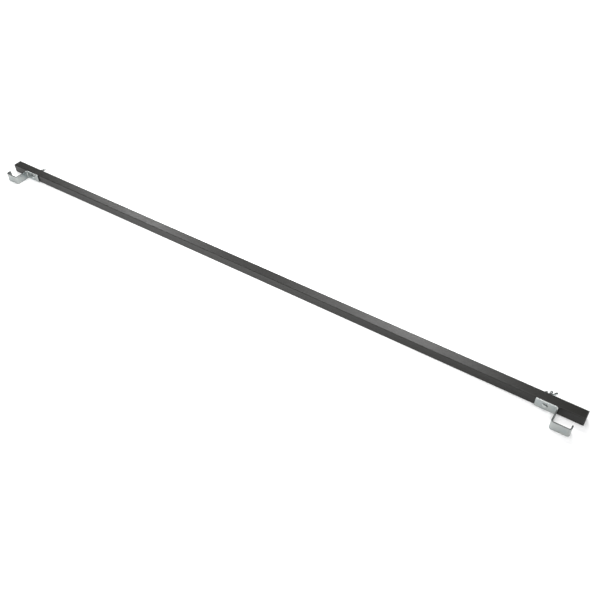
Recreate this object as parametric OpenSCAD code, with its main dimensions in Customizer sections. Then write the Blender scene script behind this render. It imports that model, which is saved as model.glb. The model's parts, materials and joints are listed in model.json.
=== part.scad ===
// Hang-on magnetic nail sweeper: a square tube packed with block magnets, with a bent-strip
// hook bracket bolted near each end and held by a wing nut.
// Frame: X runs along the bar, +Z is up, the hooks stand out towards -Y and the wing nuts
// towards +Y. The origin is the middle of the tube's underside. Units are millimetres.

/* [Bar] */
// Length of the bar over its end plugs
bar_length = 1828.8; // [900:0.1:1900]
// Outside width and height of the square tube
tube_size = 25.4; // [24:0.1:30]
// Wall thickness of the tube
tube_wall = 1.5; // [1.2:0.1:2]
// Outside corner radius of the tube
tube_corner = 1.5; // [1.3:0.1:2]
// Distance of each bolt from the bar's end
bolt_inset = 87.9; // [80:0.1:110]

/* [Magnets] */
// Length of one magnet block
magnet_length = 47.6; // [30:0.1:60]
// Thickness of one magnet block
magnet_thickness = 9.5; // [6:0.1:10]
// Thickness of the steel keeper bar behind the magnets
keeper_thickness = 3; // [2:0.1:4]
// Glue gap between neighbouring magnets
magnet_gap = 0.4; // [0.2:0.1:2]
// Length of the block between the magnets and each bolt
pack_stop_length = 28; // [10:1:50]

/* [Hook bracket] */
// Thickness of the bracket strip
strip_thickness = 3.2; // [2.5:0.1:4]
// Inside radius of the strip's bends
bend_radius = 3; // [2:0.1:5]
// Length of strip from the bolt to the plate's free end
plate_tail = 22.6; // [14:0.1:40]
// Distance from the bolt to the far face of the leg
leg_offset = 28.9; // [24:0.1:40]
// Distance from the tube's face to the far face of the hook
hook_reach = 45.7; // [30:0.1:60]
// Clear width inside the hook
hook_width = 39.5; // [25:0.1:60]
// Length of the hook's returned lip, over the hook's far face
lip_length = 16; // [12:0.5:24]

/* [Fasteners] */
// Length of the bolt under its head
bolt_length = 47.4; // [44:0.1:60]
// Turn of the left wing nut at rest, in degrees from the bar's axis
left_wing_angle = 28; // [0:1:180]
// Turn of the right wing nut at rest, in degrees from the bar's axis
right_wing_angle = 22; // [0:1:180]

/* [Hidden] */
$fn = 64;
thread_major = 6.3;
thread_minor = 4.9;
thread_pitch = 1.27;
thread_turns = 20;
cross_hole = 7;
nut_bore = 6.45;
face_gap = 0.1;
slip_gap = 0.2;

plug_flange = 2;
plug_depth = 16;
plug_wall = 1.6;
plug_fin = 1;
plug_fin_pitch = 5;
plug_fin_count = 3;

neck_size = 6.3;
neck_hole = 6.6;
neck_length = 3;
head_radius = 7.1;
head_rim = 0.6;
head_dome = 3;
strip_corner = 2;

flat_washer_radius = 7.9;
flat_washer_thickness = 1.6;
lock_washer_radius = 6.2;
lock_washer_thickness = 1.6;
lock_washer_split = 1;
lock_washer_slant = 25;

hub_base_radius = 6.2;
hub_top_radius = 5;
hub_height = 8;
wing_thickness = 2.8;
wing_lobe_radius = 4;
wing_lobe_centre = [11.6, 10.5];

cavity = tube_size - 2 * tube_wall;
block_width = cavity - 2 * slip_gap;
bend_outer = bend_radius + strip_thickness;
leg_near_face = leg_offset - strip_thickness;
hook_far_face = leg_offset + hook_width + strip_thickness;
bolt_x = bar_length / 2 - bolt_inset;
magnet_pitch = magnet_length + magnet_gap;
pack_room = 2 * (bolt_x - thread_major / 2 - pack_stop_length - 1);
magnet_count = min(floor(pack_room / magnet_pitch), 40);
pack_length = magnet_count * magnet_pitch - magnet_gap;
magnet_back = cavity / 2 - slip_gap / 2 - magnet_thickness;
keeper_back = magnet_back - slip_gap / 2 - keeper_thickness;
packing_thickness = keeper_back + cavity / 2 - slip_gap;
washer_seat = tube_size / 2 + face_gap;
nut_seat = washer_seat + flat_washer_thickness + lock_washer_thickness;

function two_digits(i) = str(i < 10 ? "0" : "", i);
function magnet_name(i) = str("magnet_", two_digits(i));

// A square with round corners, centred on the origin.
module rounded_square(size, radius) {
    square([size, size - 2 * radius], center = true);
    square([size - 2 * radius, size], center = true);
    for (x = [-1, 1], y = [-1, 1])
        translate([x, y] * (size / 2 - radius)) circle(radius);
}

// Turns a shape extruded along Z so that it runs along X, at the tube's centre height.
module along_bar() {
    translate([0, 0, tube_size / 2]) rotate([90, 0, 90]) children();
}

// Carries a shape whose axis is Z onto a bolt's axis, pointing to +Y. side is -1 left, 1 right.
module on_bolt(side, y) {
    translate([side * bolt_x, y, tube_size / 2]) rotate([-90, 0, 0]) children();
}

// A block that fills the tube's cavity across Z, between two X and two Y values.
module cavity_block(x0, x1, y0, y1) {
    translate([x0, y0, (tube_size - block_width) / 2]) cube([x1 - x0, y1 - y0, block_width]);
}

module housing_tube() {
    tube_length = bar_length - 2 * plug_flange;
    color([0.2, 0.2, 0.2]) difference() {
        along_bar() linear_extrude(tube_length, center = true) difference() {
            rounded_square(tube_size, tube_corner);
            rounded_square(cavity, 0.5);
        }
        for (side = [-1, 1])
            on_bolt(side, -tube_size) cylinder(h = 2 * tube_size, d = cross_hole);
    }
}

// A push-in plug: a flange that caps the tube, and a hollow finned body inside it.
module end_plug() {
    color([0.08, 0.08, 0.08]) along_bar() difference() {
        union() {
            linear_extrude(plug_flange) rounded_square(tube_size, tube_corner);
            translate([0, 0, -plug_depth])
                linear_extrude(plug_depth) rounded_square(cavity - 1.2, 0.5);
            for (i = [1:plug_fin_count])
                translate([0, 0, -i * plug_fin_pitch])
                    linear_extrude(plug_fin) rounded_square(cavity - slip_gap / 2, 0.5);
        }
        translate([0, 0, -plug_depth - 1])
            linear_extrude(plug_depth) rounded_square(cavity - 1.2 - 2 * plug_wall, 0.5);
    }
}

module end_plug_left() {
    mirror([1, 0, 0]) end_plug_right();
}

module end_plug_right() {
    translate([bar_length / 2 - plug_flange, 0, 0]) end_plug();
}

module magnet(i) {
    x0 = -pack_length / 2 + (i - 1) * magnet_pitch;
    color([0.25, 0.24, 0.24])
        cavity_block(x0, x0 + magnet_length, magnet_back, magnet_back + magnet_thickness);
}

module keeper_bar() {
    color([0.6, 0.6, 0.62])
        cavity_block(-pack_length / 2, pack_length / 2, keeper_back, keeper_back + keeper_thickness);
}

// Foam strip that holds the keeper and the magnets against the sweeping side of the tube.
module packing_strip() {
    y0 = -cavity / 2 + slip_gap / 2;
    color([0.5, 0.5, 0.5])
        cavity_block(-pack_length / 2, pack_length / 2, y0, y0 + packing_thickness);
}

// Block that the through bolt holds against the end of the magnets.
module pack_stop(side) {
    x0 = pack_length / 2 + slip_gap;
    color([0.85, 0.85, 0.8]) mirror([side < 0 ? 1 : 0, 0, 0])
        cavity_block(x0, x0 + pack_stop_length, -block_width / 2, block_width / 2);
}

// A quarter ring of strip about the point at, in the quadrant that qx and qy point to.
module bend(at, qx, qy) {
    translate(at) intersection() {
        difference() {
            circle(bend_outer);
            circle(bend_radius);
        }
        translate([qx < 0 ? -2 * bend_outer : 0, qy < 0 ? -2 * bend_outer : 0])
            square(2 * bend_outer);
    }
}

// The bent strip seen from above. The bolt is at x = 0, the tube's face at y = 0.
module strip_path() {
    far = -hook_reach;
    translate([-plate_tail, -strip_thickness])
        square([plate_tail + leg_offset - bend_outer, strip_thickness]);
    bend([leg_offset - bend_outer, -bend_outer], 1, 1);
    translate([leg_near_face, far + bend_outer])
        square([strip_thickness, hook_reach - 2 * bend_outer]);
    bend([leg_near_face + bend_outer, far + bend_outer], -1, -1);
    translate([leg_near_face + bend_outer, far])
        square([hook_far_face - leg_near_face - 2 * bend_outer, strip_thickness]);
    bend([hook_far_face - bend_outer, far + bend_outer], 1, -1);
    translate([hook_far_face - strip_thickness, far + bend_outer])
        square([strip_thickness, lip_length - bend_outer]);
}

// What rounding a strip's two corners takes away: corners at z = +-tube_size/2, end towards -X.
module corner_waste() {
    for (z = [-1, 1]) mirror([0, 0, z < 0 ? 1 : 0])
        translate([0, 0, tube_size / 2 - strip_corner]) rotate([90, 0, 0])
            linear_extrude(4 * strip_thickness, center = true) difference() {
                translate([-1, 0]) square([strip_corner + 1, strip_corner + 1]);
                translate([strip_corner, 0]) circle(strip_corner);
            }
}

module hook_bracket(side) {
    color([0.72, 0.75, 0.76]) mirror([side < 0 ? 1 : 0, 0, 0])
        translate([bolt_x, -tube_size / 2 - face_gap, tube_size / 2]) difference() {
            linear_extrude(tube_size, center = true) strip_path();
            cube([neck_hole, 4 * strip_thickness, neck_hole], center = true);
            translate([-plate_tail, 0, 0]) corner_waste();
            translate([hook_far_face, lip_length - hook_reach, 0])
                rotate([0, 0, -90]) corner_waste();
        }
}

// V ridges as [radius, height] points, from the height z0 up.
function thread_points(z0) = [
    for (i = [0:2 * thread_turns])
        [i % 2 == 0 ? thread_minor / 2 : thread_major / 2, z0 + i * thread_pitch / 2]
];

module carriage_bolt(side) {
    thread_start = bolt_length - thread_turns * thread_pitch - 0.6;
    dome_sphere = (pow(head_radius, 2) + pow(head_dome, 2)) / (2 * head_dome);
    color([0.7, 0.72, 0.73])
        on_bolt(side, -tube_size / 2 - face_gap - strip_thickness) {
            translate([0, 0, -head_rim]) cylinder(h = head_rim, r = head_radius);
            intersection() {
                translate([0, 0, dome_sphere - head_rim - head_dome]) sphere(dome_sphere);
                translate([0, 0, -head_rim - head_dome])
                    cylinder(h = head_dome, r = head_radius);
            }
            translate([-neck_size / 2, -neck_size / 2, 0])
                cube([neck_size, neck_size, neck_length]);
            cylinder(h = thread_start, d = thread_major);
            rotate_extrude() polygon(concat(
                [[0, thread_start - 1]],
                [[thread_minor / 2, thread_start - 1]],
                thread_points(thread_start),
                [[thread_minor / 2 - 0.5, bolt_length], [0, bolt_length]]
            ));
        }
}

module flat_washer(side) {
    color([0.75, 0.77, 0.78]) on_bolt(side, washer_seat) difference() {
        cylinder(h = flat_washer_thickness, r = flat_washer_radius);
        translate([0, 0, -1]) cylinder(h = flat_washer_thickness + 2, d = cross_hole);
    }
}

module lock_washer(side) {
    color([0.7, 0.72, 0.74]) on_bolt(side, washer_seat + flat_washer_thickness) difference() {
        cylinder(h = lock_washer_thickness, r = lock_washer_radius);
        translate([0, 0, -1]) cylinder(h = lock_washer_thickness + 2, d = nut_bore);
        translate([lock_washer_radius, 0, lock_washer_thickness / 2])
            rotate([lock_washer_slant, 0, 0])
                cube([lock_washer_radius * 2, lock_washer_split, 8], center = true);
    }
}

// One wing, drawn as [distance from the axis, height above the nut's seat].
module wing_outline() {
    c = wing_lobe_centre;
    r = wing_lobe_radius;
    polygon([
        [3.6, 0.9],
        [5.8, 0.9],
        c + r * [cos(-25), sin(-25)],
        c,
        c + r * [cos(125), sin(125)],
        [4.4, 7.4],
        [3.6, 7.4]
    ]);
    translate(c) circle(r);
}

module wing_nut(side, angle) {
    color([0.7, 0.72, 0.73]) on_bolt(side, nut_seat) rotate([0, 0, -angle]) difference() {
        union() {
            cylinder(h = hub_height, r1 = hub_base_radius, r2 = hub_top_radius);
            for (turn = [0, 180])
                rotate([90, 0, turn])
                    linear_extrude(wing_thickness, center = true) wing_outline();
        }
        translate([0, 0, -1]) cylinder(h = hub_height + 20, d = nut_bore);
    }
}

housing_tube();
end_plug_left();
end_plug_right();
keeper_bar();
packing_strip();
pack_stop(-1);  // pack_stop_left
pack_stop(1);  // pack_stop_right
hook_bracket(-1);  // hook_bracket_left
hook_bracket(1);  // hook_bracket_right
carriage_bolt(-1);  // carriage_bolt_left
carriage_bolt(1);  // carriage_bolt_right
flat_washer(-1);  // flat_washer_left
flat_washer(1);  // flat_washer_right
lock_washer(-1);  // lock_washer_left
lock_washer(1);  // lock_washer_right
wing_nut(-1, left_wing_angle);  // wing_nut_left
wing_nut(1, right_wing_angle);  // wing_nut_right
for (i = [1:magnet_count])
    magnet(i);
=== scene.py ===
"""The look of the hang-on magnetic nail sweeper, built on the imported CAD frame.

Everything is in metres in the part's frame: X along the bar, -Y the hook side, +Y the wing nut side.
Shapes are drawn in millimetres and scaled by MM as they are placed.
"""
import json
import math

import bmesh
import bpy
from mathutils import Matrix, Vector


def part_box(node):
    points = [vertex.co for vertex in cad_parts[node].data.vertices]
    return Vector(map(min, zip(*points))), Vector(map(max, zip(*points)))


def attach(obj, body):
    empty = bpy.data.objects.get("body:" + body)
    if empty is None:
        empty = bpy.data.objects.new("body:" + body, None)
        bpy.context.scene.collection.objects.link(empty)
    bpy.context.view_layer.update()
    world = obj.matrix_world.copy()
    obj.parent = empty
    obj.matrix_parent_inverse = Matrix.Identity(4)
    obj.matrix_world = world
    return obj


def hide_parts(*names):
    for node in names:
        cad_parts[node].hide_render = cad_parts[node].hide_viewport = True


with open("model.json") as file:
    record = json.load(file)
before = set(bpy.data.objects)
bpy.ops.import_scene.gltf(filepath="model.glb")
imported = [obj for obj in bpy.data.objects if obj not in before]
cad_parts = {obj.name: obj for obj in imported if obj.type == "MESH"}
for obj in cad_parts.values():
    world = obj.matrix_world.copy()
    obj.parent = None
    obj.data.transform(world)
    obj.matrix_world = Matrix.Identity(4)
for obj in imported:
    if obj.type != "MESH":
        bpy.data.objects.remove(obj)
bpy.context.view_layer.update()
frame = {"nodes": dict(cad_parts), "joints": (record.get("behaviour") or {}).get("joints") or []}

MM = 0.001
SIDES = {"left": -1, "right": 1}
JOINTS = {j["name"]: j for j in frame["joints"]}
AXIS = {s: Vector(JOINTS[s + "_hook_swivel"]["pos_m"]) for s in SIDES}

# sizes in millimetres that the nodes' boxes don't give
TUBE_WALL = 1.5
TUBE_CORNER = 1.5
CROSS_HOLE = 3.5

PLUG_FLANGE = 2.0
PLUG_DEPTH = 18.0
PLUG_WALL = 1.6
FIN_PITCH = 5.0

STRIP = 3.2
BEND = 3.0
STRIP_CORNER = 2.0
STRIP_EDGE = 0.45
HOOK_WIDTH = 39.5
LIP_LENGTH = 16.0
NECK_HOLE = 3.3

HEAD_RADIUS = 7.1
HEAD_DOME = 3.0
HEAD_RIM = 0.6
NECK = 3.15
NECK_LENGTH = 3.0
THREAD_MAJOR = 3.15
THREAD_MINOR = 2.45
THREAD_PITCH = 1.27
THREAD_TURNS = 20
NUT_BORE = 3.225
WASHER_BORE = 3.5
WING_TURN = {"left": 28, "right": 22}

# The strip's UV map is in metres. U is the length from the plate's free end, plus 1 on the left bracket.
# V is the place across the strip, plus INNER_SHIFT on the side that faces into the hook.
INNER_SHIFT = 0.05
BEND_START = 0.040
HOOK_START = 0.052


# ---------------------------------------------------------------- shader helpers


class Shader:
    """A Principled material whose inputs are wired from small procedural parts."""

    def __init__(self, name, space="Object"):
        self.material = bpy.data.materials.new(name)
        self.material.use_nodes = True
        self.tree = self.material.node_tree
        self.bsdf = self.tree.nodes["Principled BSDF"]
        self.coords = self.add("ShaderNodeTexCoord").outputs[space]

    def add(self, kind, **settings):
        node = self.tree.nodes.new(kind)
        for key, value in settings.items():
            setattr(node, key, value)
        return node

    def wire(self, source, target):
        if isinstance(source, bpy.types.NodeSocket):
            self.tree.links.new(source, target)
        else:
            target.default_value = source

    def math(self, operation, a, b=0.0):
        node = self.add("ShaderNodeMath", operation=operation)
        self.wire(a, node.inputs[0])
        self.wire(b, node.inputs[1])
        return node.outputs[0]

    def stretched(self, scale):
        """The texture coordinates scaled along each axis."""
        node = self.add("ShaderNodeMapping")
        self.wire(self.coords, node.inputs["Vector"])
        node.inputs["Scale"].default_value = scale
        return node.outputs[0]

    def noise(self, scale, detail=3.0, rough=0.5, coords=None, distortion=0.0):
        node = self.add("ShaderNodeTexNoise")
        self.wire(coords or self.coords, node.inputs["Vector"])
        node.inputs["Scale"].default_value = scale
        node.inputs["Detail"].default_value = detail
        node.inputs["Roughness"].default_value = rough
        node.inputs["Distortion"].default_value = distortion
        return node.outputs["Fac"]

    def cells(self, scale):
        node = self.add("ShaderNodeTexVoronoi")
        self.wire(self.coords, node.inputs["Vector"])
        node.inputs["Scale"].default_value = scale
        return node.outputs["Distance"]

    def remap(self, value, low, high, to_low=0.0, to_high=1.0):
        node = self.add("ShaderNodeMapRange")
        for target, v in zip(node.inputs[:5], (value, low, high, to_low, to_high)):
            self.wire(v, target)
        return node.outputs[0]

    def mix(self, factor, a, b):
        node = self.add("ShaderNodeMix", data_type="RGBA")
        self.wire(factor, node.inputs[0])
        for colour, target in ((a, node.inputs[6]), (b, node.inputs[7])):
            if not isinstance(colour, bpy.types.NodeSocket) and len(colour) == 3:
                colour = (*colour, 1.0)
            self.wire(colour, target)
        return node.outputs[2]

    def edges(self, radius):
        """1 on edges sharper than the radius, 0 on flats."""
        bevel = self.add("ShaderNodeBevel", samples=6)
        bevel.inputs["Radius"].default_value = radius
        flat = self.add("ShaderNodeNewGeometry").outputs["Normal"]
        dot = self.add("ShaderNodeVectorMath", operation="DOT_PRODUCT")
        self.wire(bevel.outputs[0], dot.inputs[0])
        self.wire(flat, dot.inputs[1])
        return self.remap(dot.outputs["Value"], 0.995, 0.90)

    def bump(self, height, strength, distance, below=None):
        node = self.add("ShaderNodeBump")
        node.inputs["Strength"].default_value = strength
        node.inputs["Distance"].default_value = distance
        self.wire(height, node.inputs["Height"])
        if below:
            self.wire(below, node.inputs["Normal"])
        return node.outputs[0]

    def set(self, **inputs):
        for name, value in inputs.items():
            target = self.bsdf.inputs[name.replace("_", " ")]
            if isinstance(value, tuple) and len(value) == 3:
                value = (*value, 1.0)
            self.wire(value, target)
        return self.material


def black_coat():
    """Satin black coat on an extruded tube: faint draw lines, fine peel and lighter corners."""
    s = Shader("black_satin_coat")
    cloud = s.noise(5.0, 3)
    mottle = s.noise(240.0, 4, 0.7)
    speck = s.remap(s.noise(1500.0, 2), 0.66, 0.78)
    lines = s.noise(1.0, 4, 0.6, s.stretched((3.0, 900.0, 900.0)))
    peel = s.noise(1400.0, 2)
    wear = s.math("MULTIPLY", s.edges(0.0006), s.remap(s.noise(60.0, 5, 0.7), 0.5, 0.75))
    base = s.mix(cloud, (0.0085, 0.0082, 0.0068), (0.0140, 0.0135, 0.0113))
    base = s.mix(s.math("MULTIPLY", speck, 0.2), base, (0.10, 0.095, 0.09))
    base = s.mix(s.math("MULTIPLY", wear, 0.45), base, (0.22, 0.22, 0.215))
    rough = s.math("ADD", s.remap(cloud, 0.3, 0.7, 0.33, 0.39), s.remap(lines, 0.3, 0.7, -0.02, 0.02))
    rough = s.math("ADD", rough, s.remap(mottle, 0.35, 0.65, -0.03, 0.03))
    normal = s.bump(lines, 0.10, 0.00004)
    normal = s.bump(mottle, 0.12, 0.00012, normal)
    normal = s.bump(peel, 0.16, 0.00006, normal)
    return s.set(Base_Color=base, Roughness=rough, Normal=normal, IOR=1.4)


def strip_painted_light(s, base, rough):
    """Base colour and roughness of zinc, with painted light and shade on the bent strip.

    The sheared edges carry a painted highlight along the plate, most of all at its bend, and painted shade
    along the hook.
    The inside of the hook carries patchy painted shade too. The sheared edges and the inside of the hook are
    a little rougher.
    """
    facing = s.add("ShaderNodeSeparateXYZ")
    s.wire(s.add("ShaderNodeTexCoord").outputs["Normal"], facing.inputs[0])
    sheared = s.remap(s.math("ABSOLUTE", facing.outputs["Z"]), 0.6, 0.9)
    along_strip = s.add("ShaderNodeSeparateXYZ")
    s.wire(s.coords, along_strip.inputs[0])
    length = s.math("FRACT", along_strip.outputs["X"])
    hooked = s.remap(length, HOOK_START, HOOK_START + 0.006)
    # painted highlight on the sheared edges along the plate, strongest at the bend
    painted_plate_highlight = s.remap(length, BEND_START, BEND_START + 0.006, 0.3, 0.65)
    painted_highlight = s.math("MULTIPLY", painted_plate_highlight, s.remap(hooked, 0.0, 1.0, 1.0, 0.0))
    base = s.mix(s.math("MULTIPLY", sheared, painted_highlight), base, (0.84, 0.85, 0.84))
    # painted shade on the sheared edges along the hook
    painted_edge_shade = s.math("MULTIPLY", hooked, 0.85)
    base = s.mix(s.math("MULTIPLY", sheared, painted_edge_shade), base, (0.09, 0.095, 0.095))
    # patchy painted shade on the inside of the hook, which is also made a little rougher
    inner = s.remap(along_strip.outputs["Y"], INNER_SHIFT / 2 - 0.001, INNER_SHIFT / 2 + 0.001)
    patchy = s.remap(s.noise(90.0, 5, 0.7), 0.3, 0.7, 0.5, 1.0)
    painted_hook_shade = s.math("MULTIPLY", s.math("MULTIPLY", hooked, inner), patchy)
    base = s.mix(s.math("MULTIPLY", painted_hook_shade, 0.8), base, (0.09, 0.093, 0.092))
    rough = s.math("ADD", rough, s.math("MULTIPLY", s.math("MAXIMUM", sheared, painted_hook_shade), 0.08))
    return base, rough


def zinc_plate(name, space, along, tint=1.0, gloss=0.36, strip=False):
    """Clear zinc plating on steel. Streaks run along the axis whose stretch is smallest."""
    s = Shader(name, space)
    cloud = s.noise(30.0, 4, 0.6)
    fine = s.noise(420.0, 3)
    streak = s.noise(1.0, 5, 0.65, s.stretched(along))
    hue = s.remap(s.noise(55.0, 2, distortion=0.8), 0.35, 0.65)
    stain = s.remap(s.noise(90.0, 6, 0.75), 0.60, 0.74)
    cool = tuple(c * tint for c in (0.325, 0.362, 0.366))
    warm = tuple(c * tint for c in (0.375, 0.392, 0.380))
    base = s.mix(hue, cool, warm)
    base = s.mix(s.remap(streak, 0.35, 0.75, 0.0, 0.35), base, (0.50, 0.51, 0.505))
    base = s.mix(s.math("MULTIPLY", stain, 0.30), base, (0.20, 0.215, 0.22))
    base = s.mix(s.math("MULTIPLY", s.edges(0.0005), 0.35), base, (0.52, 0.53, 0.525))
    rough = s.math("ADD", s.remap(cloud, 0.3, 0.7, gloss - 0.06, gloss + 0.06),
                   s.remap(streak, 0.3, 0.7, -0.04, 0.04))
    normal = s.bump(streak, 0.18, 0.00005)
    normal = s.bump(fine, 0.10, 0.00004, normal)
    if strip:
        base, rough = strip_painted_light(s, base, rough)
    return s.set(Base_Color=base, Metallic=1.0, Roughness=rough, Normal=normal)


def moulded_black():
    """Black moulded plastic with a fine eroded grain."""
    s = Shader("black_moulded_plastic")
    grain = s.noise(2600.0, 2)
    cloud = s.noise(80.0, 3)
    base = s.mix(cloud, (0.014, 0.014, 0.014), (0.024, 0.024, 0.023))
    base = s.mix(s.math("MULTIPLY", s.edges(0.0008), 0.4), base, (0.06, 0.06, 0.06))
    rough = s.remap(grain, 0.3, 0.7, 0.48, 0.62)
    return s.set(Base_Color=base, Roughness=rough, Normal=s.bump(grain, 0.35, 0.00006))


def ferrite():
    """Pressed and ground ferrite: charcoal, fine grain, grinding lines and small edge chips."""
    s = Shader("ground_ferrite")
    grain = s.noise(1800.0, 3)
    lines = s.noise(1.0, 3, 0.6, s.stretched((1500.0, 20.0, 20.0)))
    chips = s.math("MULTIPLY", s.edges(0.0008), s.remap(s.noise(300.0, 3), 0.5, 0.6))
    base = s.mix(grain, (0.060, 0.058, 0.060), (0.105, 0.102, 0.104))
    base = s.mix(chips, base, (0.16, 0.155, 0.155))
    rough = s.remap(lines, 0.3, 0.7, 0.45, 0.60)
    normal = s.bump(grain, 0.25, 0.00008, s.bump(lines, 0.15, 0.00005))
    return s.set(Base_Color=base, Metallic=0.2, Roughness=rough, Normal=normal)


def mild_steel():
    """Cold-rolled flat bar: long roll lines, thin oil film, a little surface rust."""
    s = Shader("cold_rolled_steel")
    lines = s.noise(1.0, 4, 0.6, s.stretched((6.0, 700.0, 700.0)))
    rust = s.remap(s.noise(40.0, 6, 0.75), 0.62, 0.72)
    base = s.mix(lines, (0.30, 0.30, 0.31), (0.46, 0.46, 0.465))
    base = s.mix(s.math("MULTIPLY", rust, 0.5), base, (0.20, 0.09, 0.045))
    rough = s.math("ADD", s.remap(lines, 0.3, 0.7, 0.30, 0.42), s.math("MULTIPLY", rust, 0.3))
    metal = s.remap(rust, 0.0, 1.0, 1.0, 0.3)
    return s.set(Base_Color=base, Metallic=metal, Roughness=rough, Normal=s.bump(lines, 0.2, 0.00006))


def foam():
    """Grey closed-cell foam strip."""
    s = Shader("closed_cell_foam")
    cells = s.cells(1100.0)
    base = s.mix(s.remap(cells, 0.1, 0.7), (0.17, 0.17, 0.175), (0.34, 0.34, 0.345))
    return s.set(Base_Color=base, Roughness=0.9, Normal=s.bump(cells, 0.6, 0.0003))


def milky_plastic():
    """Off-white polyethylene block with saw marks."""
    s = Shader("milky_polyethylene")
    saw = s.noise(1.0, 3, 0.6, s.stretched((900.0, 30.0, 30.0)))
    base = s.mix(saw, (0.66, 0.65, 0.60), (0.76, 0.75, 0.70))
    return s.set(Base_Color=base, Roughness=0.5, Normal=s.bump(saw, 0.3, 0.0001),
                 Subsurface_Weight=0.1, Subsurface_Radius=Vector((0.002, 0.002, 0.0015)))


COAT = black_coat()
STRIP_ZINC = zinc_plate("zinc_on_strip", "UV", (8.0, 900.0, 1.0), strip=True)
BOLT_ZINC = zinc_plate("zinc_on_bolts", "Object", (500.0, 90.0, 500.0), 1.1, 0.24)
NUT_ZINC = zinc_plate("zinc_on_forgings", "Object", (260.0, 260.0, 260.0), 1.7, 0.38)
WASHER_ZINC = zinc_plate("zinc_on_washers", "Object", (700.0, 120.0, 700.0), 1.04)
PLUG = moulded_black()


# ---------------------------------------------------------------- mesh helpers


def loft(rings, closed=False):
    """Vertices and faces of a skin over rings of equal length. closed joins the last to the first."""
    n = len(rings[0])
    verts = [p for ring in rings for p in ring]
    spans = len(rings) if closed else len(rings) - 1
    faces = []
    for i in range(spans):
        a, b = i * n, ((i + 1) % len(rings)) * n
        faces += [(a + j, a + (j + 1) % n, b + (j + 1) % n, b + j) for j in range(n)]
    if not closed:
        faces.append(tuple(range(n))[::-1])
        faces.append(tuple(range((len(rings) - 1) * n, len(rings) * n)))
    return verts, faces


def new_mesh(name, verts, faces):
    """A mesh whose faces all look outwards."""
    mesh = bpy.data.meshes.new(name)
    mesh.from_pydata([tuple(v) for v in verts], [], faces)
    bm = bmesh.new()
    bm.from_mesh(mesh)
    bmesh.ops.recalc_face_normals(bm, faces=bm.faces)
    bm.to_mesh(mesh)
    bm.free()
    return mesh


def new_object(name, mesh):
    obj = bpy.data.objects.new(name, mesh)
    bpy.context.scene.collection.objects.link(obj)
    return obj


def apply_modifiers(obj):
    """Replaces obj's mesh by what its modifiers make of it."""
    bpy.context.view_layer.update()
    graph = bpy.context.evaluated_depsgraph_get()
    mesh = bpy.data.meshes.new_from_object(obj.evaluated_get(graph))
    obj.modifiers.clear()
    obj.data = mesh


def cut(obj, cutters):
    """Takes the cutters' volume away from obj, and removes the cutters."""
    for cutter in cutters:
        mod = obj.modifiers.new("cut", "BOOLEAN")
        mod.operation = "DIFFERENCE"
        mod.solver = "EXACT"
        mod.object = cutter
    apply_modifiers(obj)
    for cutter in cutters:
        bpy.data.objects.remove(cutter)


def finish_piece(obj, body, material, node, angle=32.0):
    """Smooth shading with crisp edges, a material, and the piece's place in the frame."""
    mesh = obj.data
    mesh.shade_smooth()
    mesh.set_sharp_from_angle(angle=math.radians(angle))
    mesh.materials.clear()
    mesh.materials.append(material)
    weighted = obj.modifiers.new("weighted_normals", "WEIGHTED_NORMAL")
    weighted.keep_sharp = True
    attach(obj, body)
    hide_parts(node)


def rounded_square(half, radius, segments=6):
    """Points of a square with round corners, as (a, b) pairs, anticlockwise."""
    points = []
    for quarter in range(4):
        start = quarter * math.pi / 2
        ca = (half - radius) * (1 if quarter in (0, 3) else -1)
        cb = (half - radius) * (1 if quarter in (0, 1) else -1)
        for i in range(segments + 1):
            angle = start + i / segments * math.pi / 2
            points.append((ca + radius * math.cos(angle), cb + radius * math.sin(angle)))
    return points


def turned(profile, centre, segments=64):
    """Rings about the +Y axis through centre, from (radius, y) pairs in millimetres."""
    rings = []
    for radius, y in profile:
        ring = []
        for i in range(segments):
            angle = 2 * math.pi * i / segments
            offset = Vector((math.sin(angle) * radius, y, math.cos(angle) * radius))
            ring.append(Vector((centre.x, 0, centre.z)) + offset * MM)
        rings.append(ring)
    return rings


def stacked(profile, segments):
    """Rings about the third axis, from (radius, height) pairs, in the profile's own units."""
    angles = [2 * math.pi * i / segments for i in range(segments)]
    return [[(r * math.cos(a), r * math.sin(a), h) for a in angles] for r, h in profile]


# ---------------------------------------------------------------- tube and end plugs


def build_tube():
    """The square tube, open at its ends, with its sawn edges eased and a cross hole for each bolt."""
    low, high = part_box("housing_tube")
    half = (high.z - low.z) / 2 / MM
    cavity = half - TUBE_WALL
    ease, inner_ease, rim = 0.25, 0.15, 0.28
    middle = (low + high) / 2

    def ring(x, size, radius):
        return [Vector((x, middle.y + a * MM, middle.z + b * MM)) for a, b in rounded_square(size, radius)]

    rings = []
    for x, inward in ((low.x, 1), (high.x, -1)):
        outer = [ring(x, half - ease, TUBE_CORNER - ease),
                 ring(x + inward * ease * MM * 0.3, half - ease * 0.3, TUBE_CORNER - 0.07),
                 ring(x + inward * ease * MM, half, TUBE_CORNER)]
        inner = [ring(x, cavity + inner_ease, 0.6), ring(x + inward * inner_ease * MM, cavity, 0.5)]
        rings += inner[::-1] + outer if inward > 0 else outer[::-1] + inner
    tube = new_object("sweeper_tube", new_mesh("sweeper_tube", *loft(rings, closed=True)))
    cutters = []
    for side in SIDES:
        # a drill that leaves both rims of the hole eased
        profile = [(0.01, -14), (4.4, -14), (CROSS_HOLE + rim, -half - 0.02), (CROSS_HOLE, -half + rim),
                   (CROSS_HOLE, half - rim), (CROSS_HOLE + rim, half + 0.02), (4.4, 14), (0.01, 14)]
        mesh = new_mesh("hole_cutter", *loft(turned(profile, AXIS[side], 48)))
        cutters.append(new_object("hole_cutter_" + side, mesh))
    cut(tube, cutters)
    finish_piece(tube, "bar", COAT, "housing_tube")


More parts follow.
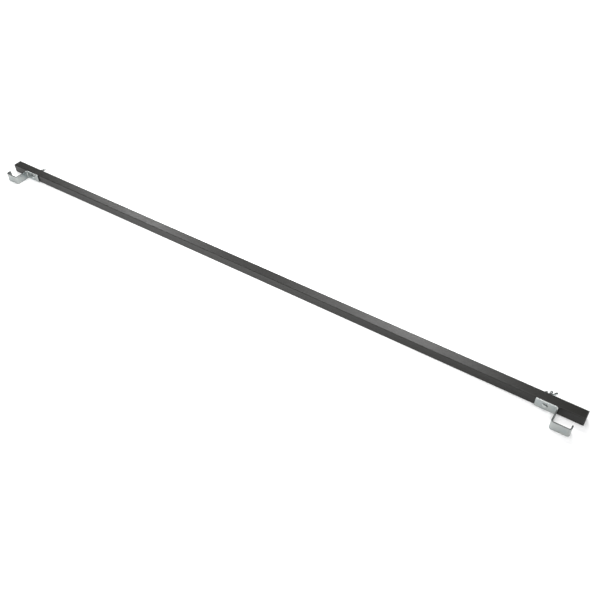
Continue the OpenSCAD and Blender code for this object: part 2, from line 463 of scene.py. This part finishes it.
def build_plug(side):
    """A push-in plug: a flange over the tube's end and a hollow body with three fins inside it."""
    node = "end_plug_" + side
    low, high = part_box(node)
    sign = SIDES[side]
    outer_x = high.x if sign > 0 else low.x
    half = (high.z - low.z) / 2
    size = half / MM
    cavity = size - TUBE_WALL
    root = cavity - 0.6
    hollow = root - PLUG_WALL
    flange = PLUG_FLANGE
    # depth from the outer face, half size, corner radius
    stations = [(0.0, size - 0.8, 1.0), (0.05, size - 0.45, 1.2), (0.2, size - 0.18, 1.35),
                (0.45, size - 0.03, 1.5), (0.8, size, 1.5), (flange - 0.2, size, 1.5),
                (flange - 0.02, size - 0.1, 1.45), (flange, size - 0.4, 1.4), (flange, root, 0.5)]
    for fin in (1, 2, 3):
        depth = flange + fin * FIN_PITCH
        stations += [(depth - 1.3, root, 0.5), (depth - 1.05, cavity - 0.05, 0.5),
                     (depth - 0.75, cavity - 0.05, 0.5), (depth - 0.1, root, 0.5)]
    stations += [(PLUG_DEPTH - 0.4, root, 0.5), (PLUG_DEPTH, root - 0.4, 0.4),
                 (PLUG_DEPTH, hollow + 0.2, 0.4), (PLUG_DEPTH - 0.2, hollow, 0.4),
                 (flange + 1.0, hollow, 0.4)]
    rings = []
    for depth, half_size, radius in stations:
        x = outer_x - sign * depth * MM
        rings.append([Vector((x, a * MM, half + b * MM)) for a, b in rounded_square(half_size, radius)])
    plug = new_object("plug_" + side, new_mesh("plug_" + side, *loft(rings)))
    finish_piece(plug, "bar", PLUG, node)


# ---------------------------------------------------------------- hook brackets


def strip_stations(tail, leg, reach, width, lip):
    """Stations down the middle of the strip as (x, y, normal x, normal y), bolt at x 0, tube face at y 0."""
    mid, far = BEND + STRIP / 2, -reach
    near = leg - STRIP
    path = [("line", (-tail, -STRIP / 2), (leg - BEND - STRIP, -STRIP / 2)),
            ("arc", (leg - BEND - STRIP, -BEND - STRIP), 90, 0),
            ("line", (leg - STRIP / 2, -BEND - STRIP), (leg - STRIP / 2, far + BEND + STRIP)),
            ("arc", (near + BEND + STRIP, far + BEND + STRIP), 180, 270),
            ("line", (near + BEND + STRIP, far + STRIP / 2), (leg + width - BEND, far + STRIP / 2)),
            ("arc", (leg + width - BEND, far + BEND + STRIP), 270, 360),
            ("line", (leg + width + STRIP / 2, far + BEND + STRIP), (leg + width + STRIP / 2, far + lip))]
    stations = []
    for kind, a, b, *rest in path:
        if kind == "line":
            ax, ay, bx, by = *a, *b
            length = math.hypot(bx - ax, by - ay)
            tx, ty = (bx - ax) / length, (by - ay) / length
            count = max(2, int(length / 4))
            for i in range(count + 1):
                stations.append((ax + (bx - ax) * i / count, ay + (by - ay) * i / count, -ty, tx, 0.0))
        else:
            start, stop = b, rest[0]
            turn = 1 if stop < start else -1
            for i in range(1, 12):
                t = i / 12
                angle = math.radians(start + (stop - start) * t)
                nx, ny = math.cos(angle) * turn, math.sin(angle) * turn
                x, y = a[0] + mid * math.cos(angle), a[1] + mid * math.sin(angle)
                stations.append((x, y, nx, ny, turn * math.sin(math.pi * t)))
    return stations


def densify_ends(stations):
    """Adds stations close to both free ends, where the corners are rounded."""
    marks = (0.0, 0.04, 0.12, 0.25, 0.45, 0.7, 1.0, 1.4, 2.0)

    def end(first, second):
        x0, y0, nx, ny, _ = first
        tx, ty = ny, -nx
        sign = 1 if (second[0] - x0) * tx + (second[1] - y0) * ty > 0 else -1
        return [(x0 + tx * sign * m, y0 + ty * sign * m, nx, ny, 0.0) for m in marks]

    return end(stations[0], stations[1]) + stations[1:-1] + end(stations[-1], stations[-2])[::-1]


def rounded_end(from_end, half_width):
    """Half width and half thickness of the strip at a distance from its free end."""
    w, t = half_width, STRIP / 2
    if from_end < STRIP_CORNER:
        w -= STRIP_CORNER - math.sqrt(STRIP_CORNER**2 - (STRIP_CORNER - from_end) ** 2)
    if from_end < STRIP_EDGE:
        soft = STRIP_EDGE - math.sqrt(STRIP_EDGE**2 - (STRIP_EDGE - from_end) ** 2)
        w, t = w - soft, t - soft
    return w, t


def strip_section(w, t, bend):
    """The strip's section as (across, through) pairs, from its half width and half thickness."""
    points = []
    for corner_w, corner_t, start in ((1, 1, 0), (-1, 1, 90), (-1, -1, 180), (1, -1, 270)):
        for i in range(5):
            angle = math.radians(start + 90 * i / 4)
            dw = corner_w * (w - STRIP_EDGE) + STRIP_EDGE * math.cos(angle)
            dt = corner_t * (t - STRIP_EDGE) + STRIP_EDGE * math.sin(angle)
            # the outside of a bend draws in a little across the strip's width
            dw *= 1 - 0.016 * max(0.0, bend * dt / t)
            points.append((dw, dt))
    return points


def map_strip(mesh, lengths, around, middle_z, shift):
    """The strip's UV map. Its rings have around points each, and stand at the given lengths."""
    layer = mesh.uv_layers.new(name="strip")
    for face in mesh.polygons:
        for loop in face.loop_indices:
            index = mesh.loops[loop].vertex_index
            ring, spot = divmod(index, around)
            across = mesh.vertices[index].co.z - middle_z + (INNER_SHIFT if spot < around / 2 else 0.0)
            layer.data[loop].uv = (lengths[ring] * MM + shift, across)


def build_bracket(side):
    """The bent strip: a rounded section swept along its stations, with a square hole for the bolt's neck."""
    node = "hook_bracket_" + side
    low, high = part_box(node)
    sign = SIDES[side]
    face_y = high.y
    bolt = AXIS[side]
    tail = (bolt.x - low.x if sign > 0 else high.x - bolt.x) / MM
    tip = (high.x - bolt.x if sign > 0 else bolt.x - low.x) / MM
    reach = (high.y - low.y) / MM
    leg = tip - HOOK_WIDTH - STRIP
    stations = densify_ends(strip_stations(tail, leg, reach, HOOK_WIDTH, LIP_LENGTH))
    lengths = [0.0]
    for a, b in zip(stations, stations[1:]):
        lengths.append(lengths[-1] + math.hypot(b[0] - a[0], b[1] - a[1]))
    half_width = (high.z - low.z) / 2 / MM
    rings = []
    for (x, y, nx, ny, bend), at in zip(stations, lengths):
        w, t = rounded_end(min(at, lengths[-1] - at), half_width)
        ring = []
        for dw, dt in strip_section(w, t, bend):
            px = bolt.x + sign * (x + nx * dt) * MM
            ring.append(Vector((px, face_y + (y + ny * dt) * MM, bolt.z + dw * MM)))
        rings.append(ring)
    mesh = new_mesh("bracket_" + side, *loft(rings))
    map_strip(mesh, lengths, len(rings[0]), bolt.z, 1.0 if sign < 0 else 0.0)
    bracket = new_object("bracket_" + side, mesh)
    square = [Vector((bolt.x + a * MM, face_y + y * MM, bolt.z + b * MM))
              for y in (-STRIP - 1, 1) for a, b in rounded_square(NECK_HOLE, 0.5, 4)]
    count = len(square) // 2
    hole = new_mesh("neck_cutter", *loft([square[:count], square[count:]]))
    cut(bracket, [new_object("neck_cutter_" + side, hole)])
    finish_piece(bracket, side + "_hook", STRIP_ZINC, node, 28.0)


# ---------------------------------------------------------------- bolts, washers and wing nuts


def thread_radius(turns):
    """Radius of a rolled thread at a phase counted in turns: flat crest, wider rounded root."""
    f = turns % 1.0
    rise = min(max((f - 0.12) / 0.32, 0.0), 1.0) - min(max((f - 0.56) / 0.32, 0.0), 1.0)
    return THREAD_MINOR + (THREAD_MAJOR - THREAD_MINOR) * rise


def bolt_stations(head_top, tip, start):
    """(height, kind, size) down the bolt: dome, square neck, shank, and thread from start to tip."""
    seat = head_top + HEAD_DOME + HEAD_RIM
    radius = HEAD_RADIUS
    sphere = (radius**2 + HEAD_DOME**2) / (2 * HEAD_DOME)
    dome_rings, turn_rings = 14, 14
    stations = []
    for i in range(1, dome_rings + 1):
        a = math.asin((radius - 0.25) / sphere) * i / dome_rings
        stations.append((head_top + sphere * (1 - math.cos(a)), "round", sphere * math.sin(a)))
    stations += [(seat - 0.62, "round", radius - 0.06), (seat - 0.42, "round", radius),
                 (seat - 0.15, "round", radius - 0.02), (seat, "round", radius - 0.18),
                 (seat, "square", NECK), (seat + NECK_LENGTH - 0.5, "square", NECK),
                 (seat + NECK_LENGTH, "square", NECK - 0.15),
                 (seat + NECK_LENGTH + 0.3, "round", THREAD_MAJOR), (start - 0.4, "round", THREAD_MAJOR)]
    steps = int((tip - start) / THREAD_PITCH * turn_rings)
    stations += [(start + (tip - start) * i / steps, "thread", 0.0) for i in range(steps + 1)]
    return stations


def bolt_radius(kind, size, angle, into_thread, from_tip):
    """Radius of the bolt at one angle of one station."""
    if kind == "square":
        widest = max(abs(math.cos(angle)), abs(math.sin(angle)))
        return min(size / widest, size * 1.33)
    if kind == "thread":
        r = thread_radius(into_thread / THREAD_PITCH - angle / (2 * math.pi))
        # the thread fades in over one and a half turns, and its tip is pointed
        runout = min(max(into_thread / (1.5 * THREAD_PITCH), 0.0), 1.0)
        return min(r * runout + THREAD_MAJOR * (1 - runout), 2.35 + max(from_tip, 0.0) * 1.1)
    return size


def build_bolt(side):
    """A carriage bolt, from the top of its dome over its square neck to the tip of a true helical thread."""
    node = "carriage_bolt_" + side
    low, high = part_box(node)
    centre = AXIS[side]
    tip = high.y / MM
    start = tip - THREAD_TURNS * THREAD_PITCH - 0.6
    segments = 56
    rings = []
    for y, kind, size in bolt_stations(low.y / MM, tip, start):
        ring = []
        for i in range(segments):
            angle = 2 * math.pi * i / segments
            r = bolt_radius(kind, size, angle, y - start, tip - y)
            offset = Vector((math.sin(angle) * r, 0, math.cos(angle) * r)) * MM
            ring.append(Vector((centre.x, y * MM, centre.z)) + offset)
        rings.append(ring)
    bolt = new_object("bolt_" + side, new_mesh("bolt_" + side, *loft(rings)))
    finish_piece(bolt, side + "_hook", BOLT_ZINC, node, 40.0)


def build_flat_washer(side):
    """A punched washer, sharp on one side and rolled over on the other."""
    node = "flat_washer_" + side
    low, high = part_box(node)
    y0, y1, r = low.y / MM, high.y / MM, (high.x - low.x) / 2 / MM
    bore = WASHER_BORE
    profile = [(bore, y0 + 0.15), (bore + 0.15, y0), (r - 0.1, y0), (r, y0 + 0.1), (r, y1 - 0.5),
               (r - 0.12, y1 - 0.2), (r - 0.45, y1), (bore + 0.3, y1), (bore + 0.1, y1 - 0.08),
               (bore, y1 - 0.3)]
    mesh = new_mesh("washer_" + side, *loft(turned(profile, AXIS[side], 80), closed=True))
    washer = new_object("washer_" + side, mesh)
    finish_piece(washer, side + "_washers", WASHER_ZINC, node)


def build_lock_washer(side):
    """A split ring of trapezoid wire, pressed nearly flat, its ends cut on the slant."""
    node = "lock_washer_" + side
    low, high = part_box(node)
    y0, y1, r = low.y / MM, high.y / MM, (high.x - low.x) / 2 / MM
    centre = AXIS[side]
    gap, slant, steps = 0.16, 0.12, 72
    section = [(3.28, y0 + 0.2), (3.45, y0 + 0.03), (r - 0.2, y0), (r, y0 + 0.18), (r, y1 - 0.18),
               (r - 0.2, y1), (3.45, y1 - 0.03), (3.28, y1 - 0.2)]
    rings = []
    for i in range(steps + 1):
        t = i / steps
        ring = []
        for radius, y in section:
            lean = slant * ((y - y0) / (y1 - y0) - 0.5)
            angle = math.pi / 2 + gap / 2 + lean + (2 * math.pi - gap) * t
            offset = Vector((math.sin(angle) * radius, y, math.cos(angle) * radius)) * MM
            ring.append(Vector((centre.x, 0, centre.z)) + offset)
        rings.append(ring)
    washer = new_object("spring_washer_" + side, new_mesh("spring_washer_" + side, *loft(rings)))
    finish_piece(washer, side + "_washers", WASHER_ZINC, node)


def bezier(a, b, c, count):
    """Points along a quadratic curve from a to c, without c itself."""
    points = []
    for i in range(count):
        t = i / count
        points.append(tuple((1 - t) ** 2 * p + 2 * t * (1 - t) * q + t * t * r for p, q, r in zip(a, b, c)))
    return points


def wing_outline():
    """Edge of one wing as (distance from the axis, height), anticlockwise."""
    cx, cy, r = 11.6, 10.5, 4.0
    start, sweep, steps = -22, 187, 22

    def ear(degrees):
        return (cx + r * math.cos(math.radians(degrees)), cy + r * math.sin(math.radians(degrees)))

    points = bezier((5.3, 0.9), (12.2, 4.4), ear(start), 16)
    points += [ear(start + sweep * i / steps) for i in range(steps)]
    points += bezier(ear(start + sweep), (7.2, 8.4), (4.2, 7.3), 10)
    points += [(4.2, 7.3), (2.6, 6.0), (2.6, 1.6)]
    return points


def wing_solid(flip):
    """One wing with soft edges, thinner towards its ear. Millimetres, hub axis along the third value."""
    outline = wing_outline()
    n = len(outline)
    normals = []
    for i in range(n):
        (ax, ay), (bx, by) = outline[i - 1], outline[(i + 1) % n]
        length = math.hypot(bx - ax, by - ay) or 1.0
        normals.append(((by - ay) / length, -(bx - ax) / length))
    rings, layers, softness = [], 9, 1.1
    for layer in range(layers):
        phi = math.radians(-90 + 180 * layer / (layers - 1))
        inset = softness * (1 - math.cos(phi))
        ring = []
        for (u, h), (nu, nh) in zip(outline, normals):
            thick = 1.75 - 0.045 * u
            ring.append((flip * (u - nu * inset), flip * math.sin(phi) * thick, h - nh * inset))
        rings.append(ring)
    return loft(rings)


def forged_blank(side):
    """A hub and two wings, melted together and softened. Millimetres, standing on the third axis."""
    hub = [(0.02, 0.0), (5.75, 0.0), (6.15, 0.35), (5.95, 1.8), (5.35, 5.6), (5.0, 7.3), (4.6, 7.85),
           (0.02, 8.0)]
    verts, faces = loft(stacked(hub, 64))
    for flip in (1, -1):
        more, more_faces = wing_solid(flip)
        faces += [tuple(i + len(verts) for i in f) for f in more_faces]
        verts += more
    nut = new_object("wingnut_" + side, new_mesh("wingnut_" + side, verts, faces))
    remesh = nut.modifiers.new("forge", "REMESH")
    remesh.mode = "VOXEL"
    remesh.voxel_size = 0.26
    smooth = nut.modifiers.new("soften", "SMOOTH")
    smooth.factor = 0.5
    smooth.iterations = 9
    apply_modifiers(nut)
    return nut


def build_wing_nut(side):
    """A forged wing nut, bored, faced on its seat and stood on its bolt."""
    node = "wing_nut_" + side
    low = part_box(node)[0]
    nut = forged_blank(side)
    bore = [(0.02, -1), (4.1, -1), (NUT_BORE, 0.55), (NUT_BORE, 7.3), (3.9, 8.1), (3.9, 20), (0.02, 20)]
    cutter = new_mesh("bore_cutter", *loft(stacked(bore, 48)))
    cut(nut, [new_object("bore_cutter_" + side, cutter)])
    turn = math.radians(WING_TURN[side])
    stand = Matrix(((math.cos(turn), math.sin(turn), 0, 0), (0, 0, 1, 0),
                    (math.sin(turn), -math.cos(turn), 0, 0), (0, 0, 0, 1)))
    centre = AXIS[side]
    for v in nut.data.vertices:
        # the smoothing rounded the seat, so it is made flat again
        if v.co.z < 0.12 and math.hypot(v.co.x, v.co.y) < 5.9:
            v.co.z = 0.0
        v.co = stand @ v.co
        v.co = Vector((centre.x, low.y, centre.z)) + v.co * MM
    nut.data.update()
    finish_piece(nut, side + "_nut", NUT_ZINC, node, 45.0)


# ---------------------------------------------------------------- pieces inside the tube


def dress_inside():
    """Materials, and soft edges on the blocks, for the CAD solids that stay."""
    looks = {"keeper_bar": mild_steel(), "packing_strip": foam()}
    looks["pack_stop_left"] = looks["pack_stop_right"] = milky_plastic()
    stone = ferrite()
    for name, obj in frame["nodes"].items():
        if name.startswith("magnet_"):
            looks[name] = stone
        if name in looks:
            obj.data.materials.clear()
            obj.data.materials.append(looks[name])
            if name != "packing_strip":
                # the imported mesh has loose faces, and only joined ones can be bevelled
                weld = obj.modifiers.new("joined_faces", "WELD")
                weld.merge_threshold = 0.00001
                edge = obj.modifiers.new("soft_edges", "BEVEL")
                edge.width = 0.0003
                edge.segments = 2


# ---------------------------------------------------------------- studio


def light(name, kind, location, target, **settings):
    data = bpy.data.lights.new(name, kind)
    for key, value in settings.items():
        setattr(data, key, value)
    obj = bpy.data.objects.new(name, data)
    bpy.context.scene.collection.objects.link(obj)
    obj.location = location
    obj.rotation_euler = (Vector(target) - Vector(location)).to_track_quat("-Z", "Y").to_euler()
    return obj


def panel(name, location, target, width, height, radiance):
    """A flat softbox, flagged off the wing nuts. Its power is what gives it the wanted radiance."""
    softbox = light(name, "AREA", location, target, shape="RECTANGLE", size=width, size_y=height,
                    energy=radiance * math.pi * width * height)
    flagged = bpy.data.collections.new(name + "_flagged_off")
    for side in SIDES:
        flagged.objects.link(bpy.data.objects["wingnut_" + side])
    for entry in flagged.collection_objects:
        entry.light_linking.link_state = "EXCLUDE"
    softbox.light_linking.receiver_collection = flagged


def build_world():
    """A pale room in front of the bar and a dim one behind it, which the camera sees as plain white."""
    world = bpy.data.worlds.new("studio")
    bpy.context.scene.world = world
    world.use_nodes = True
    tree = world.node_tree
    direction = tree.nodes.new("ShaderNodeSeparateXYZ")
    tree.links.new(tree.nodes.new("ShaderNodeTexCoord").outputs["Generated"], direction.inputs[0])
    dim = tree.nodes.new("ShaderNodeMapRange")
    dim.interpolation_type = "SMOOTHSTEP"
    tree.links.new(direction.outputs["Y"], dim.inputs["Value"])
    for name, value in (("From Min", -0.3), ("From Max", 0.5), ("To Min", 0.32), ("To Max", 0.12)):
        dim.inputs[name].default_value = value
    seen = tree.nodes.new("ShaderNodeMapRange")
    tree.links.new(tree.nodes.new("ShaderNodeLightPath").outputs["Is Camera Ray"], seen.inputs["Value"])
    tree.links.new(dim.outputs[0], seen.inputs["To Min"])
    seen.inputs["To Max"].default_value = 1.0
    background = tree.nodes["Background"]
    background.inputs["Color"].default_value = (0.97, 0.985, 1.0, 1)
    tree.links.new(seen.outputs[0], background.inputs["Strength"])


def build_floor():
    """A light table: pale, lit from above and glowing a little itself, so shadows stay faint."""
    verts = [(-30, -30, 0), (30, -30, 0), (30, 30, 0), (-30, 30, 0)]
    floor = new_object("floor", new_mesh("floor", verts, [(0, 1, 2, 3)]))
    floor.location.z = -0.0004
    s = Shader("pale_floor")
    away = s.add("ShaderNodeVectorMath", operation="DISTANCE")
    s.wire(s.coords, away.inputs[0])
    away.inputs[1].default_value = (-0.05, -0.15, 0.0)
    glow = s.remap(away.outputs["Value"], 0.2, 1.05, 0.85, 0.06)
    floor.data.materials.append(s.set(Base_Color=(0.87, 0.87, 0.87), Roughness=0.9,
                                      Emission_Color=(1.0, 1.0, 1.0), Emission_Strength=glow))


def build_lights():
    """One broad soft light from above, and three panels hung where the bar's top mirrors them."""
    light("top", "SUN", (0.0, -0.08, 1.0), (0, 0, 0), energy=2.2, angle=math.radians(52))
    panel("back_wash", (-1.45, 1.75, 2.0), (-0.1, 0, 0), 2.3, 1.2, 0.75)
    panel("back_left", (-2.34, 1.6, 2.08), (-0.4, 0, 0), 0.36, 0.8, 20)
    panel("back_middle", (-0.25, 1.6, 2.08), (0.45, 0, 0), 0.9, 0.8, 12.6)


def build_camera():
    """A camera in front of the right end, looking down along the bar."""
    scene = bpy.context.scene
    data = bpy.data.cameras.new("camera")
    camera = bpy.data.objects.new("camera", data)
    scene.collection.objects.link(camera)
    data.sensor_width = 36.0
    data.lens = 43.131
    data.clip_start, data.clip_end = 0.05, 100
    place = Vector((0.93687, -1.09492, 1.30593))
    azimuth, elevation, roll = (math.radians(a) for a in (-35.077, 44.741, -2.052))
    ahead = Vector((math.sin(azimuth) * math.cos(elevation), math.cos(azimuth) * math.cos(elevation),
                    -math.sin(elevation)))
    right = Vector((math.cos(azimuth), -math.sin(azimuth), 0))
    up = right.cross(ahead)
    x_axis = right * math.cos(roll) + up * math.sin(roll)
    y_axis = -right * math.sin(roll) + up * math.cos(roll)
    turn = Matrix((x_axis, y_axis, -ahead)).transposed().to_4x4()
    camera.matrix_world = Matrix.Translation(place) @ turn
    scene.camera = camera


build_tube()
for side in SIDES:
    build_plug(side)
    build_bracket(side)
    build_bolt(side)
    build_flat_washer(side)
    build_lock_washer(side)
    build_wing_nut(side)
dress_inside()
bpy.context.scene.view_settings.view_transform = "Standard"
build_world()
build_floor()
build_lights()
build_camera()
